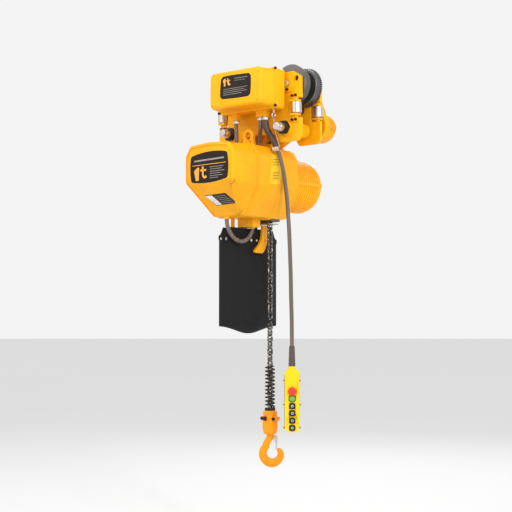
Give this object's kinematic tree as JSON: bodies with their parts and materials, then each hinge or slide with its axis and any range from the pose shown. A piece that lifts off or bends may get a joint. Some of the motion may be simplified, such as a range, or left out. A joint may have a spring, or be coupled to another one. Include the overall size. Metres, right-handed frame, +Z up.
{
  "type": "electric chain hoist with motorised trolley",
  "caption": "Electric chain hoist hung from a motor-driven beam trolley, with control box, chain bag, sprung hook block, swivel hook with latch, and a push-button pendant on its cable.",
  "frame": {"origin": "middle of the runway: the top face of the beam's lower flange, under the trolley, in line with the load chain", "axes": "+X along the beam, to the right when the label side is in front; -Y is the label side; +Z up"},
  "size_m": [0.43, 0.572, 1.507],
  "materials": {
    "cast_body": "satin",
    "plates": "satin",
    "bare_steel": "satin",
    "black_steel": "satin",
    "chain_steel": "satin",
    "gear_steel": "satin",
    "wheel_iron": "satin",
    "hook_paint": "satin",
    "copper": "satin",
    "bag_canvas": "matt",
    "cable_rubber": "matt",
    "pendant_plastic": "satin",
    "key_rubber": "matt",
    "stop_red": "gloss",
    "start_green": "gloss",
    "electric_plastic": "satin"
  },
  "bodies": {
    "trolley_and_hoist": {"front_side_plate": "plates", "rear_side_plate": "plates", "cross_shafts": "bare_steel", "wheel_axles": "bare_steel", "suspension_yoke": "cast_body", "guide_roller_brackets": "plates", "trolley_gearbox": "plates", "trolley_motor_shell": "cast_body", "control_box_base": "plates", "control_box_cover": "plates", "contactors": "electric_plastic", "cable_glands": "bare_steel", "strain_wire": "bare_steel", "front_cover": "cast_body", "gear_case": "cast_body", "body_frame": "cast_body", "motor_stator": "copper", "motor_housing": "cast_body", "brake_magnet": "black_steel", "shaft_bearings": "bare_steel", "chain_guide": "wheel_iron", "limit_switch": "plates", "housing_bolts": "black_steel", "bag_arms": "cast_body", "chain_bag": "bag_canvas", "stored_chain": "chain_steel", "sheave_chain": "chain_steel", "load_chain_upper": "chain_steel", "pendant_shell": "pendant_plastic", "pendant_cable": "cable_rubber", "lead_cables": "cable_rubber"},
    "motor_rotor_set": {"motor_shaft": "gear_steel", "motor_rotor": "gear_steel", "brake_disc": "bare_steel"},
    "sheave_set": {"load_sheave": "wheel_iron", "load_gear": "gear_steel"},
    "idler_set": {"idler_gear": "gear_steel"},
    "hook_block_set": {"load_chain_lower": "chain_steel", "cushion_spring": "black_steel", "hook_block": "hook_paint", "hook_block_bolts": "black_steel"},
    "hook_body": {"hook": "hook_paint"},
    "latch_body": {"safety_latch": "bare_steel"},
    "wheel_fl": {"wheel_front_left": "wheel_iron"},
    "wheel_fr": {"wheel_front_right": "wheel_iron"},
    "wheel_rl": {"wheel_rear_left": "wheel_iron"},
    "wheel_rr": {"wheel_rear_right": "wheel_iron"},
    "travel_pinion": {"trolley_drive_shaft": "gear_steel"},
    "travel_rotor": {"trolley_motor_rotor": "gear_steel"},
    "roller_fl": {"guide_roller_front_left": "bare_steel"},
    "roller_fr": {"guide_roller_front_right": "bare_steel"},
    "roller_rl": {"guide_roller_rear_left": "bare_steel"},
    "roller_rr": {"guide_roller_rear_right": "bare_steel"},
    "lever_body": {"limit_lever": "bare_steel"},
    "stop_body": {"button_stop": "stop_red"},
    "start_body": {"button_start": "start_green"},
    "up_body": {"button_up": "key_rubber"},
    "down_body": {"button_down": "key_rubber"},
    "left_body": {"button_left": "key_rubber"},
    "right_body": {"button_right": "key_rubber"}
  },
  "joints": [
    {"name": "motor_spin", "type": "hinge", "parent": "trolley_and_hoist", "child": "motor_rotor_set", "pos_m": [-0.03693, 0, -0.28], "axis": [0, -1, 0], "range_deg": [0, 22572]},
    {"name": "sheave_spin", "type": "hinge", "parent": "trolley_and_hoist", "child": "sheave_set", "pos_m": [-0.03693, 0, -0.28], "axis": [0, -1, 0], "range_deg": [0, 792.5], "deforming": ["sheave_chain"]},
    {"name": "idler_spin", "type": "hinge", "parent": "trolley_and_hoist", "child": "idler_set", "pos_m": [-0.03693, 0, -0.225], "axis": [0, -1, 0], "range_deg": [-3564.5, 0]},
    {"name": "hook_lift", "type": "slide", "parent": "trolley_and_hoist", "child": "hook_block_set", "axis": [0, 0, 1], "range_m": [0, 0.5285], "deforming": ["load_chain_upper"]},
    {"name": "hook_swivel", "type": "hinge", "parent": "hook_block_set", "child": "hook_body", "pos_m": [0, 0, -1.236], "axis": [0, 0, 1], "continuous": true},
    {"name": "latch_hinge", "type": "hinge", "parent": "hook_body", "child": "latch_body", "pos_m": [0.01532, 0.01286, -1.247], "axis": [-0.6428, 0.766, 0], "range_deg": [0, 22], "stiffness_Nm_per_rad": 0.05, "springref_deg": -11.46},
    {"name": "wheel_fl_roll", "type": "hinge", "parent": "trolley_and_hoist", "child": "wheel_fl", "pos_m": [-0.14, -0.034, 0.07], "axis": [0, 1, 0], "continuous": true},
    {"name": "wheel_fr_roll", "type": "hinge", "parent": "trolley_and_hoist", "child": "wheel_fr", "pos_m": [0.14, -0.034, 0.07], "axis": [0, 1, 0], "continuous": true},
    {"name": "wheel_rl_roll", "type": "hinge", "parent": "trolley_and_hoist", "child": "wheel_rl", "pos_m": [-0.14, 0.034, 0.07], "axis": [0, 1, 0], "continuous": true},
    {"name": "wheel_rr_roll", "type": "hinge", "parent": "trolley_and_hoist", "child": "wheel_rr", "pos_m": [0.14, 0.034, 0.07], "axis": [0, 1, 0], "continuous": true},
    {"name": "travel_pinion_spin", "type": "hinge", "parent": "trolley_and_hoist", "child": "travel_pinion", "pos_m": [0.11, 0.075, -0.0122], "axis": [0, 1, 0], "continuous": true},
    {"name": "travel_motor_spin", "type": "hinge", "parent": "trolley_and_hoist", "child": "travel_rotor", "pos_m": [0.1403, 0.125, -0.07167], "axis": [0, 1, 0], "continuous": true},
    {"name": "roller_fl_roll", "type": "hinge", "parent": "trolley_and_hoist", "child": "roller_fl", "pos_m": [-0.18, -0.066, -0.021], "axis": [0, 0, 1], "continuous": true},
    {"name": "roller_fr_roll", "type": "hinge", "parent": "trolley_and_hoist", "child": "roller_fr", "pos_m": [0.18, -0.066, -0.021], "axis": [0, 0, 1], "continuous": true},
    {"name": "roller_rl_roll", "type": "hinge", "parent": "trolley_and_hoist", "child": "roller_rl", "pos_m": [-0.18, 0.066, -0.021], "axis": [0, 0, 1], "continuous": true},
    {"name": "roller_rr_roll", "type": "hinge", "parent": "trolley_and_hoist", "child": "roller_rr", "pos_m": [0.18, 0.066, -0.021], "axis": [0, 0, 1], "continuous": true},
    {"name": "limit_lever_hinge", "type": "hinge", "parent": "trolley_and_hoist", "child": "lever_body", "pos_m": [-0.03, 0, -0.442], "axis": [0, -1, 0], "range_deg": [0, 5], "stiffness_Nm_per_rad": 0.4, "springref_deg": -17.19},
    {"name": "button_stop_press", "type": "slide", "parent": "trolley_and_hoist", "child": "stop_body", "axis": [-0.6428, 0.766, 0], "range_m": [0, 0.005], "stiffness_N_per_m": 300, "springref_m": -0.002},
    {"name": "button_start_press", "type": "slide", "parent": "trolley_and_hoist", "child": "start_body", "axis": [-0.6428, 0.766, 0], "range_m": [0, 0.004], "stiffness_N_per_m": 300, "springref_m": -0.002},
    {"name": "button_up_press", "type": "slide", "parent": "trolley_and_hoist", "child": "up_body", "axis": [-0.6428, 0.766, 0], "range_m": [0, 0.004], "stiffness_N_per_m": 300, "springref_m": -0.002},
    {"name": "button_down_press", "type": "slide", "parent": "trolley_and_hoist", "child": "down_body", "axis": [-0.6428, 0.766, 0], "range_m": [0, 0.004], "stiffness_N_per_m": 300, "springref_m": -0.002},
    {"name": "button_left_press", "type": "slide", "parent": "trolley_and_hoist", "child": "left_body", "axis": [-0.6428, 0.766, 0], "range_m": [0, 0.004], "stiffness_N_per_m": 300, "springref_m": -0.002},
    {"name": "button_right_press", "type": "slide", "parent": "trolley_and_hoist", "child": "right_body", "axis": [-0.6428, 0.766, 0], "range_m": [0, 0.004], "stiffness_N_per_m": 300, "springref_m": -0.002}
  ],
  "couplings": [
    {"joint": "sheave_spin", "follows": "motor_spin", "ratio": 0.035088},
    {"joint": "idler_spin", "follows": "motor_spin", "ratio": -0.15789},
    {"joint": "hook_lift", "follows": "motor_spin", "m_per_rad": 0.0013403},
    {"joint": "travel_pinion_spin", "follows": "wheel_rr_roll", "ratio": -4.8333},
    {"joint": "travel_motor_spin", "follows": "wheel_rr_roll", "ratio": 25.893}
  ]
}
